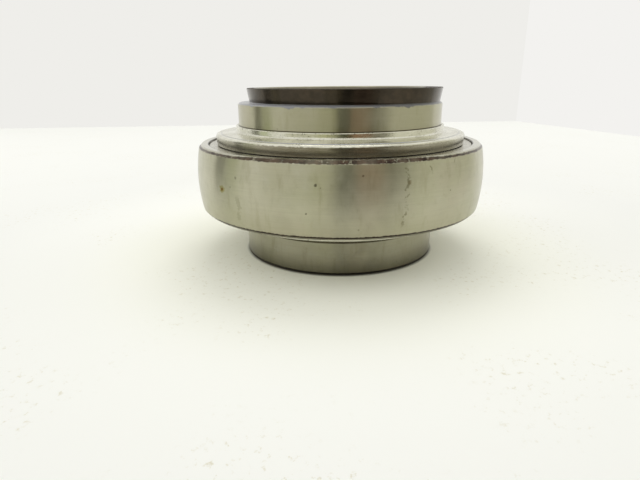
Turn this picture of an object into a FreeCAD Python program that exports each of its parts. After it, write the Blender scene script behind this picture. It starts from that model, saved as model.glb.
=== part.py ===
import FreeCAD, Part
import math
import os
import re
import Sketcher

# Wide inner ring insert bearing with an eccentric cam for a locking collar.
# Millimetres. +Z is the shaft axis, the plain end stands on z = 0 and the cam is on top.
# Every piece is drawn about the mid-plane of the balls, with heights measured from there, and
# its Placement lifts it to mid_height. The pieces of the plain side are turned over as well.

# Driving dimensions: name, millimetres, what it is. Across the bearing they stack up from the
# bore outwards, and along the shaft from the raceways outwards, so each can change by itself.
DIMENSIONS = (
    ("bore_radius", 25.0, "inner ring, shaft bore"),
    ("bore_chamfer", 1.0, "inner ring, lead chamfer at both ends of the bore"),
    ("plain_wall", 5.5, "inner ring, wall at the plain end"),
    ("plain_break", 0.35, "inner ring, edge break at the plain end"),
    ("land_wall", 6.6, "inner ring, wall at the cam side land"),
    ("land_chamfer", 0.45, "inner ring, chamfer at the top of the land"),
    ("groove_wall", 3.635, "inner ring, wall under the ball groove"),
    ("mid_height", 24.6, "inner ring, ball groove above the plain end"),
    ("land_height", 21.8, "inner ring, top of the land above the ball groove"),
    ("cam_height", 4.2, "eccentric cam, height above the land"),
    ("cam_offset", 1.43, "eccentric cam, offset of its axis towards +X"),
    ("cam_wall", 5.15, "eccentric cam, mean wall at its top"),
    ("cam_undercut", 0.65, "eccentric cam, how far its side draws in at the root"),
    ("cam_relief", 0.35, "eccentric cam, height of the relief at its root"),
    ("cam_break", 0.2, "eccentric cam, edge break at its top"),
    ("ball_radius", 6.35, "ball"),
    ("ball_count", 10, "number of balls"),
    ("raceway_ease", 0.2, "how much larger the section of both ball grooves is than a ball"),
    ("raceway_play", 0.015, "gap between a ball and each groove bottom"),
    ("outer_groove_depth", 2.465, "outer ring, depth of the ball groove"),
    ("outer_wall", 3.635, "outer ring, wall over the ball groove"),
    ("outer_chamfer", 0.9, "outer ring, chamfer at both faces"),
    ("cap_ledge", 2.3, "outer ring, ledge that the seal cap is seated on"),
    ("cap_seat_depth", 2.6, "outer ring, depth of the cap's recess from the face"),
    ("cap_inset", 0.4, "seal cap, face below the outer ring's face"),
    ("cap_sheet", 0.8, "seal cap, sheet thickness"),
    ("cap_bend", 0.6, "seal cap, outside bend at its rim"),
    ("cap_hole_gap", 2.2, "seal cap, hole clear of the inner ring"),
    ("lip_rubber", 0.5, "seal lip, rubber thickness on the cap"),
    ("lip_wrap", 1.4, "seal lip, rubber bonded under the cap"),
    ("lip_spread", 0.9, "seal lip, how far the two lips spread"),
    ("lip_edge", 0.25, "seal lip, width of a lip's edge"),
    ("lip_gap", 0.05, "seal lip, gap to the inner ring"),
    ("seal_room", 1.05, "room between the cage and the seal lip"),
    ("flinger_sheet", 0.9, "flinger, sheet thickness"),
    ("flinger_flare", 0.8, "flinger, inside bend from hub to web"),
    ("flinger_edge", 0.25, "flinger, edge break at the top of the hub"),
    ("flinger_crown", 0.5, "flinger, web at the hub above the rim face"),
    ("flinger_step", 0.15, "flinger, step from the web down to the rim"),
    ("flinger_rim_gap", 2.5, "flinger, rim inside the seal cap's seam"),
    ("flinger_rim_width", 1.85, "flinger, width of the rolled rim"),
    ("flinger_bend", 0.8, "flinger, outside bend from rim to skirt"),
    ("flinger_crease", 0.3, "flinger, inside bend from rim to skirt"),
    ("skirt_taper", 0.25, "flinger, how far the skirt draws in"),
    ("skirt_gap", 0.2, "flinger, gap between its skirt and the seal cap"),
    ("skirt_depth", 3.1, "cam side flinger, depth of the skirt"),
    ("hub_rise", 2.3, "cam side flinger, hub above the rim face"),
    ("plain_skirt_depth", 2.35, "plain side flinger, depth of the skirt"),
    ("plain_hub_rise", 1.8, "plain side flinger, hub above the rim face"),
    ("cage_sheet", 0.8, "cage, sheet thickness"),
    ("cage_width", 4.2, "cage, width of the ribbon across the ball circle"),
    ("pocket_gap", 0.1, "cage, gap between a ball and its pocket"),
    ("rivet_radius", 0.9, "cage rivet, shank"),
    ("rivet_brim", 0.7, "cage rivet, how far the head stands out round the shank"),
    ("rivet_head_height", 0.7, "cage rivet, head above the sheet"),
)

# Radii, from the bore outwards
PLAIN_RADIUS = "(bore_radius + plain_wall)"
LAND_RADIUS = "(bore_radius + land_wall)"
CAM_RADIUS = "(bore_radius + cam_wall)"
PITCH = "(bore_radius + groove_wall + raceway_play + ball_radius)"
GROOVE = "(ball_radius + raceway_ease)"
OUTER_FLOOR = f"({PITCH} + ball_radius + raceway_play)"
SPHERE = f"({OUTER_FLOOR} + outer_wall)"
OUTER_SHOULDER = f"({OUTER_FLOOR} - outer_groove_depth)"
CAP_SEAT_RADIUS = f"({OUTER_SHOULDER} + cap_ledge)"
RIM_RADIUS = f"({CAP_SEAT_RADIUS} - flinger_rim_gap)"

# Distances from the mid-plane of the balls outwards, the same on both sides
POCKET = "(ball_radius + pocket_gap)"
CAP_UNDER = f"({POCKET} + cage_sheet + seal_room + lip_rubber)"
CAP_FACE = f"({CAP_UNDER} + cap_sheet)"
OUTER_FACE = f"({CAP_FACE} + cap_inset)"
CAP_SEAT = f"({OUTER_FACE} - cap_seat_depth)"
SKIRT_EDGE = f"({CAP_FACE} + skirt_gap)"

NAMES = {name for name, value, note in DIMENSIONS}

doc = FreeCAD.newDocument("insert_bearing")
sheet = doc.addObject("Spreadsheet::Sheet", "Sizes")
for row, (name, value, note) in enumerate(DIMENSIONS, start=1):
    sheet.set(f"A{row}", note)
    sheet.set(f"B{row}", str(value))
    sheet.setAlias(f"B{row}", name)
doc.recompute()


def cells(text):
    """The expression with each dimension's name pointing at its cell."""
    return re.sub(r"[a-z_]{3,}", lambda word: "Sizes." + word[0] if word[0] in NAMES else word[0], text)


def value_of(text):
    """The number that an expression gives now."""
    return float(sheet.evalExpression(cells(text)))


def bind(item, prop, text):
    """Tie a property to an expression of the sheet's cells."""
    item.setExpression(prop, cells(text))


def origin_item(body, role):
    """One of the body's own origin planes or axes."""
    return next(item for item in body.Origin.OriginFeatures if item.Role == role)


def piece(label, angle="0", turned=False, lift="mid_height"):
    """A body of its own, lifted to its height and turned about the shaft axis or upside down."""
    body = doc.addObject("PartDesign::Body", label)
    body.Label = label
    flip = FreeCAD.Rotation(FreeCAD.Vector(1, 0, 0), 180 if turned else 0)
    about = FreeCAD.Rotation(FreeCAD.Vector(0, 0, 1), value_of(angle))
    body.Placement = FreeCAD.Placement(FreeCAD.Vector(0, 0, value_of(lift)), about * flip)
    bind(body, "Placement.Base.z", lift)
    if angle != "0":
        bind(body, "Placement.Rotation.Angle", angle)
    return body


def arc_between(start, end, radius, left):
    """The short arc from start to end, with its centre on the left or right of the way."""
    middle = (start + end) * 0.5
    along = end - start
    rise = math.sqrt(max(radius ** 2 - (along.Length / 2) ** 2, 0.0))
    side = FreeCAD.Vector(-along.y, along.x, 0) * ((1 if left else -1) / along.Length)
    centre = middle + side * rise
    first, last = (start, end) if left else (end, start)
    begin = math.atan2(first.y - centre.y, first.x - centre.x)
    finish = math.atan2(last.y - centre.y, last.x - centre.x)
    circle = Part.Circle(centre, FreeCAD.Vector(0, 0, 1), radius)
    return Part.ArcOfCircle(circle, begin, finish)


def hold(sketch, kind, elements, name, text):
    """Add a named dimension to the sketch and bind it."""
    index = sketch.addConstraint(Sketcher.Constraint(kind, *elements, value_of(text)))
    sketch.renameConstraint(index, name)
    bind(sketch, f"Constraints.{name}", text)


def hold_point(sketch, element, end, name, across, up):
    """Hold a point by its two distances from the origin, or on the upright axis."""
    if across == "0":
        sketch.addConstraint(Sketcher.Constraint("PointOnObject", element, end, -2))
    else:
        hold(sketch, "DistanceX", (-1, 1, element, end), f"across_{name}", across)
    if up == "0":
        sketch.addConstraint(Sketcher.Constraint("PointOnObject", element, end, -1))
    else:
        hold(sketch, "DistanceY", (-1, 1, element, end), f"up_{name}", up)


def new_sketch(body, name, role, shift=None):
    """A sketch on one of the body's origin planes, shifted along X where it needs its own axis."""
    sketch = body.newObject("Sketcher::SketchObject", name)
    sketch.AttachmentSupport = (origin_item(body, role), [""])
    sketch.MapMode = "FlatFace"
    if shift:
        bind(sketch, "AttachmentOffset.Base.x", shift)
    return sketch


def outline(sketch, corners, mark=""):
    """Draw a closed section. A corner is (radius, height) and may add (bend radius, side),
    which makes the way to the next corner an arc with its centre on that side."""
    count = len(corners)
    base = sketch.GeometryCount
    points = [FreeCAD.Vector(value_of(corner[0]), value_of(corner[1]), 0) for corner in corners]
    ends = []
    for index, corner in enumerate(corners):
        start = points[index]
        end = points[(index + 1) % count]
        if len(corner) == 2:
            sketch.addGeometry(Part.LineSegment(start, end))
            ends.append((1, 2))
        else:
            left = corner[3] == "left"
            sketch.addGeometry(arc_between(start, end, value_of(corner[2]), left))
            ends.append((1, 2) if left else (2, 1))
    for index, corner in enumerate(corners):
        after = (index + 1) % count
        pair = (base + index, ends[index][1], base + after, ends[after][0])
        sketch.addConstraint(Sketcher.Constraint("Coincident", *pair))
    for index, corner in enumerate(corners):
        hold_point(sketch, base + index, ends[index][0], f"{mark}{index}", corner[0], corner[1])
        if len(corner) > 2:
            hold(sketch, "Radius", (base + index,), f"bend_{mark}{index}", corner[2])


def turned_feature(body, kind, name, sketch):
    """Revolve a section about the sketch's own upright axis, adding or cutting."""
    feature = body.newObject("PartDesign::" + kind, name)
    feature.Profile = sketch
    feature.ReferenceAxis = (sketch, ["V_Axis"])
    feature.Angle = 360.0
    sketch.Visibility = False
    return feature


def around(body, feature, name):
    """Repeat a feature once for each ball."""
    pattern = body.newObject("PartDesign::PolarPattern", name)
    pattern.Originals = [feature]
    pattern.Axis = (origin_item(body, "Z_Axis"), [""])
    pattern.Angle = 360.0
    bind(pattern, "Occurrences", "ball_count")
    body.Tip = pattern
    return pattern


# Outer ring

OUTER_EDGE = f"({OUTER_FACE} - outer_chamfer)"
OUTER_EDGE_RADIUS = f"sqrt({SPHERE} ^ 2 - {OUTER_EDGE} ^ 2)"
OUTER_GROOVE_CENTRE = f"({OUTER_FLOOR} - {GROOVE})"
OUTER_GROOVE_HALF = f"sqrt({GROOVE} ^ 2 - ({OUTER_SHOULDER} - {OUTER_GROOVE_CENTRE}) ^ 2)"


def outer_ring():
    """Spherical outside, chamfered faces, a recess for each seal cap and the ball groove."""
    body = piece("outer_ring")
    section = new_sketch(body, "outer_ring_section", "XZ_Plane")
    outline(section, [
        (OUTER_SHOULDER, f"-{CAP_SEAT}"),
        (CAP_SEAT_RADIUS, f"-{CAP_SEAT}"),
        (CAP_SEAT_RADIUS, f"-{OUTER_FACE}"),
        (f"{OUTER_EDGE_RADIUS} - outer_chamfer", f"-{OUTER_FACE}"),
        (OUTER_EDGE_RADIUS, f"-{OUTER_EDGE}", SPHERE, "left"),
        (OUTER_EDGE_RADIUS, OUTER_EDGE),
        (f"{OUTER_EDGE_RADIUS} - outer_chamfer", OUTER_FACE),
        (CAP_SEAT_RADIUS, OUTER_FACE),
        (CAP_SEAT_RADIUS, CAP_SEAT),
        (OUTER_SHOULDER, CAP_SEAT),
        (OUTER_SHOULDER, OUTER_GROOVE_HALF, GROOVE, "right"),
        (OUTER_SHOULDER, f"-{OUTER_GROOVE_HALF}"),
    ])
    turned_feature(body, "Revolution", "outer_ring_turned", section)
    return body


# Inner ring with its eccentric cam

INNER_GROOVE_CENTRE = f"({PITCH} - ball_radius - raceway_play + {GROOVE})"
LAND_GROOVE_HALF = f"sqrt({GROOVE} ^ 2 - ({INNER_GROOVE_CENTRE} - {LAND_RADIUS}) ^ 2)"
PLAIN_GROOVE_HALF = f"sqrt({GROOVE} ^ 2 - ({INNER_GROOVE_CENTRE} - {PLAIN_RADIUS}) ^ 2)"
CAM_TOP = "(land_height + cam_height)"


def inner_ring():
    """Sleeve with the inner ball groove, the undercut eccentric cam and the shaft bore."""
    body = piece("inner_ring")
    section = new_sketch(body, "sleeve_section", "XZ_Plane")
    outline(section, [
        ("bore_radius", "-mid_height"),
        (f"{PLAIN_RADIUS} - plain_break", "-mid_height"),
        (PLAIN_RADIUS, "-mid_height + plain_break"),
        (PLAIN_RADIUS, f"-{PLAIN_GROOVE_HALF}", GROOVE, "right"),
        (LAND_RADIUS, LAND_GROOVE_HALF),
        (LAND_RADIUS, "land_height - land_chamfer"),
        (f"{LAND_RADIUS} - land_chamfer", "land_height"),
        ("bore_radius", "land_height"),
    ])
    turned_feature(body, "Revolution", "sleeve_turned", section)

    cam = new_sketch(body, "cam_section", "XZ_Plane", shift="cam_offset")
    outline(cam, [
        ("0", "land_height - cam_relief"),
        (f"{CAM_RADIUS} - cam_undercut", "land_height - cam_relief"),
        (f"{CAM_RADIUS} - cam_undercut", "land_height + cam_relief"),
        (CAM_RADIUS, f"{CAM_TOP} - cam_break"),
        (f"{CAM_RADIUS} - cam_break", CAM_TOP),
        ("0", CAM_TOP),
    ])
    turned_feature(body, "Revolution", "cam_turned", cam)

    bore = new_sketch(body, "bore_section", "XZ_Plane")
    mouth = "bore_radius + 2 * bore_chamfer"
    outline(bore, [
        ("0", "-mid_height - bore_chamfer"),
        (mouth, "-mid_height - bore_chamfer"),
        ("bore_radius", "-mid_height + bore_chamfer"),
        ("bore_radius", f"{CAM_TOP} - bore_chamfer"),
        (mouth, f"{CAM_TOP} + bore_chamfer"),
        ("0", f"{CAM_TOP} + bore_chamfer"),
    ])
    turned_feature(body, "Groove", "bore_cut", bore)
    return body


# Flingers, pressed from sheet and pushed onto the inner ring

def flinger(label, seat, skirt, rise, turned):
    """Hub on the inner ring, a web that falls to a rolled rim, and a skirt over the seal cap."""
    body = piece(label, turned=turned)
    section = new_sketch(body, label + "_section", "XZ_Plane")
    hub = f"({seat} + flinger_sheet)"
    rim = f"({SKIRT_EDGE} + {skirt})"
    rim_under = f"({rim} - flinger_sheet)"
    rim_inside = f"({RIM_RADIUS} - flinger_rim_width)"
    step = f"({rim} + flinger_step)"
    web = f"({rim} + flinger_crown)"
    top = f"({rim} + {rise})"
    skirt_radius = f"({RIM_RADIUS} - skirt_taper)"
    outline(section, [
        (seat, top),
        (seat, f"{web} + flinger_flare", "flinger_flare + flinger_sheet", "left"),
        (f"{hub} + flinger_flare", f"{web} - flinger_sheet"),
        (rim_inside, f"{step} - flinger_sheet"),
        (f"{RIM_RADIUS} - flinger_sheet - flinger_crease", rim_under),
        (f"{RIM_RADIUS} - flinger_sheet", f"{rim_under} - flinger_crease"),
        (f"{skirt_radius} - flinger_sheet", SKIRT_EDGE),
        (skirt_radius, SKIRT_EDGE),
        (RIM_RADIUS, f"{rim} - flinger_bend", "flinger_bend", "left"),
        (f"{RIM_RADIUS} - flinger_bend", rim),
        (f"{rim_inside} + flinger_step", rim),
        (rim_inside, step),
        (f"{hub} + flinger_flare", web, "flinger_flare", "right"),
        (hub, f"{web} + flinger_flare"),
        (hub, f"{top} - flinger_edge"),
        (f"{hub} - flinger_edge", top),
    ])
    turned_feature(body, "Revolution", label + "_turned", section)
    return body


# Seals: a pressed steel cap with a rubber lip bonded round its hole

def seal_cap(label, seat, turned):
    """Dished ring, its flange pressed into the outer ring and seated on the recess floor."""
    body = piece(label, turned=turned)
    section = new_sketch(body, label + "_section", "XZ_Plane")
    hole = f"({seat} + cap_hole_gap)"
    flange = f"({CAP_SEAT_RADIUS} - cap_sheet)"
    outline(section, [
        (flange, CAP_SEAT),
        (CAP_SEAT_RADIUS, CAP_SEAT),
        (CAP_SEAT_RADIUS, f"{CAP_FACE} - cap_bend", "cap_bend", "left"),
        (f"{CAP_SEAT_RADIUS} - cap_bend", CAP_FACE),
        (hole, CAP_FACE),
        (hole, CAP_UNDER),
        (flange, CAP_UNDER),
    ])
    turned_feature(body, "Revolution", label + "_turned", section)
    return body


def seal_lip(label, seat, turned):
    """Rubber round the cap's hole with an inner and an outer lip that run on the inner ring."""
    body = piece(label, turned=turned)
    section = new_sketch(body, label + "_section", "XZ_Plane")
    hole = f"({seat} + cap_hole_gap)"
    root = f"({hole} - lip_rubber)"
    wrap = f"({hole} + lip_wrap)"
    run = f"({seat} + lip_gap)"
    middle = f"({CAP_UNDER} + cap_sheet / 2)"
    outline(section, [
        (hole, CAP_FACE),
        (root, CAP_FACE),
        (f"{run} + lip_edge", f"{middle} + lip_spread"),
        (run, f"{middle} + lip_spread - lip_edge"),
        (f"{root} - lip_rubber", middle),
        (run, f"{middle} - lip_spread + lip_edge"),
        (f"{run} + lip_edge", f"{middle} - lip_spread"),
        (root, f"{CAP_UNDER} - lip_rubber"),
        (wrap, f"{CAP_UNDER} - lip_rubber"),
        (wrap, CAP_UNDER),
        (hole, CAP_UNDER),
    ])
    turned_feature(body, "Revolution", label + "_turned", section)
    return body


# Ribbon cage: two pressed halves riveted together between the balls

CAGE_INSIDE = f"({PITCH} - cage_width / 2)"
CAGE_OUTSIDE = f"({PITCH} + cage_width / 2)"
RIVET_ANGLE = "180 / ball_count"


def cage_half(label, turned):
    """Flat ribbon with a domed pocket over each ball and a rivet hole between the pockets."""
    body = piece(label, turned=turned)
    ribbon = new_sketch(body, label + "_ribbon", "XZ_Plane")
    outline(ribbon, [
        (CAGE_INSIDE, "0"),
        (CAGE_OUTSIDE, "0"),
        (CAGE_OUTSIDE, "cage_sheet"),
        (CAGE_INSIDE, "cage_sheet"),
    ])
    turned_feature(body, "Revolution", label + "_ribbon_turned", ribbon)

    dome = body.newObject("PartDesign::AdditiveSphere", label + "_dome")
    dome.AttachmentSupport = (origin_item(body, "XY_Plane"), [""])
    dome.MapMode = "FlatFace"
    dome.Angle1 = 0.0
    bind(dome, "Radius", f"{POCKET} + cage_sheet")
    bind(dome, "AttachmentOffset.Base.x", PITCH)
    doc.recompute()
    around(body, dome, label + "_domes")

    trim = new_sketch(body, label + "_trim", "XZ_Plane")
    low = "-cage_sheet"
    high = f"{POCKET} + 2 * cage_sheet"
    near = f"{PITCH} - {POCKET} - 2 * cage_sheet"
    far = f"{PITCH} + {POCKET} + 2 * cage_sheet"
    outline(trim, [
        (near, low),
        (CAGE_INSIDE, low),
        (CAGE_INSIDE, high),
        (near, high),
    ], "near_")
    outline(trim, [
        (CAGE_OUTSIDE, low),
        (far, low),
        (far, high),
        (CAGE_OUTSIDE, high),
    ], "far_")
    turned_feature(body, "Groove", label + "_trimmed", trim)
    doc.recompute()

    pocket = body.newObject("PartDesign::SubtractiveSphere", label + "_pocket")
    pocket.AttachmentSupport = (origin_item(body, "XY_Plane"), [""])
    pocket.MapMode = "FlatFace"
    bind(pocket, "Radius", POCKET)
    bind(pocket, "AttachmentOffset.Base.x", PITCH)
    doc.recompute()
    around(body, pocket, label + "_pockets")
    doc.recompute()

    circle = new_sketch(body, label + "_rivet_hole_circle", "XY_Plane")
    across = f"{PITCH} * cos({RIVET_ANGLE})"
    up = f"{PITCH} * sin({RIVET_ANGLE})"
    place = FreeCAD.Vector(value_of(across), value_of(up), 0)
    circle.addGeometry(Part.Circle(place, FreeCAD.Vector(0, 0, 1), value_of("rivet_radius")))
    hold_point(circle, 0, 3, "hole", across, up)
    hold(circle, "Radius", (0,), "hole_radius", "rivet_radius")
    hole = body.newObject("PartDesign::Pocket", label + "_rivet_hole")
    hole.Profile = circle
    hole.Type = "ThroughAll"
    hole.SideType = "Symmetric"
    doc.recompute()
    around(body, hole, label + "_rivet_holes")
    return body


def cage_rivets():
    """One rivet between each pair of balls, its domed heads on both halves of the cage."""
    body = piece("cage_rivets", angle=RIVET_ANGLE)
    section = new_sketch(body, "rivet_section", "XZ_Plane", shift=PITCH)
    brim = "(rivet_radius + rivet_brim)"
    dome = f"({brim} ^ 2 + rivet_head_height ^ 2) / (2 * rivet_head_height)"
    outline(section, [
        ("0", "-cage_sheet - rivet_head_height", dome, "left"),
        (brim, "-cage_sheet"),
        ("rivet_radius", "-cage_sheet"),
        ("rivet_radius", "cage_sheet"),
        (brim, "cage_sheet", dome, "left"),
        ("0", "cage_sheet + rivet_head_height"),
    ])
    rivet = turned_feature(body, "Revolution", "rivet_turned", section)
    doc.recompute()
    around(body, rivet, "rivets")
    return body


# Balls

def ball(number):
    """One of the balls, on the pitch circle and clear of both grooves by the raceway play."""
    label = f"ball_{number + 1:02d}"
    sphere = doc.addObject("Part::Sphere", label)
    sphere.Label = label
    angle = f"360 * {number} / ball_count"
    bind(sphere, "Radius", "ball_radius")
    bind(sphere, "Placement.Base.x", f"{PITCH} * cos({angle})")
    bind(sphere, "Placement.Base.y", f"{PITCH} * sin({angle})")
    bind(sphere, "Placement.Base.z", "mid_height")
    return sphere


pieces = [
    outer_ring(),
    inner_ring(),
    flinger("flinger_cam_side", LAND_RADIUS, "skirt_depth", "hub_rise", False),
    flinger("flinger_plain_side", PLAIN_RADIUS, "plain_skirt_depth", "plain_hub_rise", True),
    seal_cap("seal_cap_cam_side", LAND_RADIUS, False),
    seal_cap("seal_cap_plain_side", PLAIN_RADIUS, True),
    seal_lip("seal_lip_cam_side", LAND_RADIUS, False),
    seal_lip("seal_lip_plain_side", PLAIN_RADIUS, True),
    cage_half("cage_half_cam_side", False),
    cage_half("cage_half_plain_side", True),
    cage_rivets(),
]
pieces += [ball(number) for number in range(int(value_of("ball_count")))]
doc.recompute()

failed = [item.Name for item in doc.Objects if "Invalid" in item.State or "Error" in item.State]
if failed:
    raise RuntimeError("not rebuilt: " + ", ".join(failed))
for item in pieces:
    if item.Shape.isNull() or not item.Shape.isValid():
        raise RuntimeError("no sound shape: " + item.Label)

os.makedirs("parts", exist_ok=True)
for item in pieces:
    item.Shape.exportStep(f"parts/{item.Label}.step")
    box = item.Shape.optimalBoundingBox(False)
    print(f"{item.Label}: {len(item.Shape.Solids)} solid, {item.Shape.Volume:.1f} mm3, z {box.ZMin:.2f} to {box.ZMax:.2f}")
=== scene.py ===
import math

import bmesh
import bpy
from mathutils import Matrix, Vector


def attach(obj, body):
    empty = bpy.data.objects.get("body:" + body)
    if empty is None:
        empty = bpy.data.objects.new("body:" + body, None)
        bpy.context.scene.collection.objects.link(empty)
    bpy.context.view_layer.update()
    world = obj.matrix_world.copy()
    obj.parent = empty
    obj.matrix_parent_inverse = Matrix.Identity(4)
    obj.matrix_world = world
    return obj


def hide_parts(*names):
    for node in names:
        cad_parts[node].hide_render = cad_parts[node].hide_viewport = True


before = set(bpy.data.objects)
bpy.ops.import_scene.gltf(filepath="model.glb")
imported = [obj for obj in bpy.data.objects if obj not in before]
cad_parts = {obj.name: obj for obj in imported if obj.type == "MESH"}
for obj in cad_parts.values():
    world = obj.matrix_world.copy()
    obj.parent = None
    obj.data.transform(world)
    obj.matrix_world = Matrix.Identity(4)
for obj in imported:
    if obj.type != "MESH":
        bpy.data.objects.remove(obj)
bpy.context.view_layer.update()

# One millimetre in Blender's metres
MM = 0.001

# Sizes of the bearing in millimetres, as the part's source has them. Heights of the sections
# are measured from the mid-plane of the balls, outwards on each side.
MID_HEIGHT = 24.6
BORE = 25.0
BORE_CHAMFER = 1.0
PLAIN_RADIUS = 30.5
PLAIN_BREAK = 0.35
LAND_RADIUS = 31.6
LAND_HEIGHT = 21.8
LAND_CHAMFER = 0.45
CAM_OFFSET = 1.43
CAM_RADIUS = 30.15
CAM_ROOT = 29.5
CAM_RELIEF = 0.35
CAM_BREAK = 0.2
CAM_TOP = 26.0
PITCH = 35.0
BALL_RADIUS = 6.35
BALL_COUNT = 10
GROOVE = 6.55
OUTER_FLOOR = 41.365
INNER_FLOOR = 28.635
SPHERE = 45.0
OUTER_FACE = 10.0
OUTER_CHAMFER = 0.9
SHOULDER = 38.9
CAP_SEAT_RADIUS = 41.2
CAP_SEAT = 7.4
CAP_FACE = 9.6
CAP_UNDER = 8.8
CAP_SHEET = 0.8
CAP_BEND = 0.6
CAP_HOLE_GAP = 2.2
LIP_RUBBER = 0.5
LIP_WRAP = 1.4
LIP_SPREAD = 0.9
LIP_EDGE = 0.25
LIP_GAP = 0.05
SHEET = 0.9
FLARE = 0.8
CROWN = 0.5
STEP = 0.15
RIM_RADIUS = 38.7
RIM_WIDTH = 1.85
RIM_BEND = 0.8
RIM_CREASE = 0.3
SKIRT_TAPER = 0.25
SKIRT_EDGE = 9.8
CAM_SIDE_RIM = 12.9
CAM_SIDE_RISE = 2.3
PLAIN_SIDE_RIM = 12.15
PLAIN_SIDE_RISE = 1.8
CAGE_SHEET = 0.8
RIVET_RADIUS = 0.9
RIVET_HEAD = 1.6
RIVET_RISE = 0.7

# How finely the pieces are made: steps in degrees, numbers of segments and levels
BEND_STEP = 18.0
SPHERE_STEP = 0.45
GROOVE_STEP = 3.0
EDGE_CLEAR = 0.3
STRAIGHT = 3.0
RING_SEGMENTS = 384
SMALL_RING_SEGMENTS = 240
BALL_LEVEL = 5
RIVET_SEGMENTS = 24
RIVET_DOME_STEPS = 5
# Radius of the circle that carries the turned sections, and small roundings of edges, in mm
CORE = 10.0
SHARP = 0.0
SOFT_EDGE = 0.12
FINE_EDGE = 0.07
HUB_EDGE = 0.3


# Sections: lists of corners that go round a piece once

def corner(radius, height, bend=SOFT_EDGE, cam=0.0):
    """A corner with the radius of its bend. cam is 1 for a corner of the eccentric cam."""
    return (Vector((radius, height)), bend, cam)


def arc(radius, height, size, start, end, step):
    """Points on a circle about (radius, height), from one angle to another in degrees."""
    count = max(2, math.ceil(abs(end - start) / step))
    angles = [math.radians(start + (end - start) * index / count) for index in range(count + 1)]
    return [corner(radius + size * math.cos(a), height + size * math.sin(a), SHARP) for a in angles]


def rounded(corners):
    """The section's points, with each corner that has a bend turned into a small arc."""
    points = []
    count = len(corners)
    for index, (place, bend, cam) in enumerate(corners):
        before = corners[index - 1][0] - place
        after = corners[(index + 1) % count][0] - place
        half = before.angle(after) / 2 if bend else 0.0
        if not bend or math.pi / 2 - half < math.radians(STRAIGHT):
            points.append((place, cam))
            continue
        reach = bend / math.tan(half)
        centre = place + (before.normalized() + after.normalized()).normalized() * (bend / math.sin(half))
        start = place + before.normalized() * reach - centre
        end = place + after.normalized() * reach - centre
        turn = start.angle_signed(end)
        steps = max(2, math.ceil(abs(math.degrees(turn)) / BEND_STEP))
        for step in range(steps + 1):
            ray = start.copy()
            ray.rotate(Matrix.Rotation(-turn * step / steps, 2))
            points.append((centre + ray, cam))
    return points


def section_mesh(name, corners, side=1):
    """The closed section as a wire in the XZ plane, at its height above the floor, in metres."""
    points = rounded(corners)[::side]
    mesh = bpy.data.meshes.new(name)
    places = [
        Vector((place.x, 0.0, MID_HEIGHT + side * place.y)) * MM for place, cam in points
    ]
    edges = [(index, (index + 1) % len(points)) for index in range(len(points))]
    mesh.from_pydata(places, edges, [])
    eccentric = mesh.attributes.new("eccentric", "FLOAT", "POINT")
    eccentric.data.foreach_set("value", [cam for place, cam in points])
    return mesh


# Node trees for geometry

def new_tree(name, inputs):
    """A geometry node tree with named inputs, and its two ends."""
    tree = bpy.data.node_groups.new(name, "GeometryNodeTree")
    tree.interface.new_socket("Geometry", in_out="INPUT", socket_type="NodeSocketGeometry")
    tree.interface.new_socket("Geometry", in_out="OUTPUT", socket_type="NodeSocketGeometry")
    for label, kind in inputs:
        tree.interface.new_socket(label, in_out="INPUT", socket_type="NodeSocket" + kind)
    return tree, tree.nodes.new("NodeGroupInput"), tree.nodes.new("NodeGroupOutput")


def add_node(tree, kind, values=(), **settings):
    """A node with its settings, and its sockets set from pairs of name and value or output."""
    node = tree.nodes.new(kind)
    for key, value in settings.items():
        setattr(node, key, value)
    for name, value in values:
        socket = node.inputs[name]
        if isinstance(value, bpy.types.NodeSocket):
            tree.links.new(value, socket)
        else:
            socket.default_value = value
    return node


def close_tree(tree, geometry, start, end):
    """Ends a tree with real and smooth geometry in the material that the tree is given."""
    realized = add_node(tree, "GeometryNodeRealizeInstances", [("Geometry", geometry)])
    smooth = add_node(tree, "GeometryNodeSetShadeSmooth", [("Geometry", realized.outputs["Geometry"])])
    finished = add_node(tree, "GeometryNodeSetMaterial", [
        ("Geometry", smooth.outputs["Geometry"]), ("Material", start.outputs["Material"]),
    ])
    tree.links.new(finished.outputs["Geometry"], end.inputs["Geometry"])
    return tree


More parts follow.
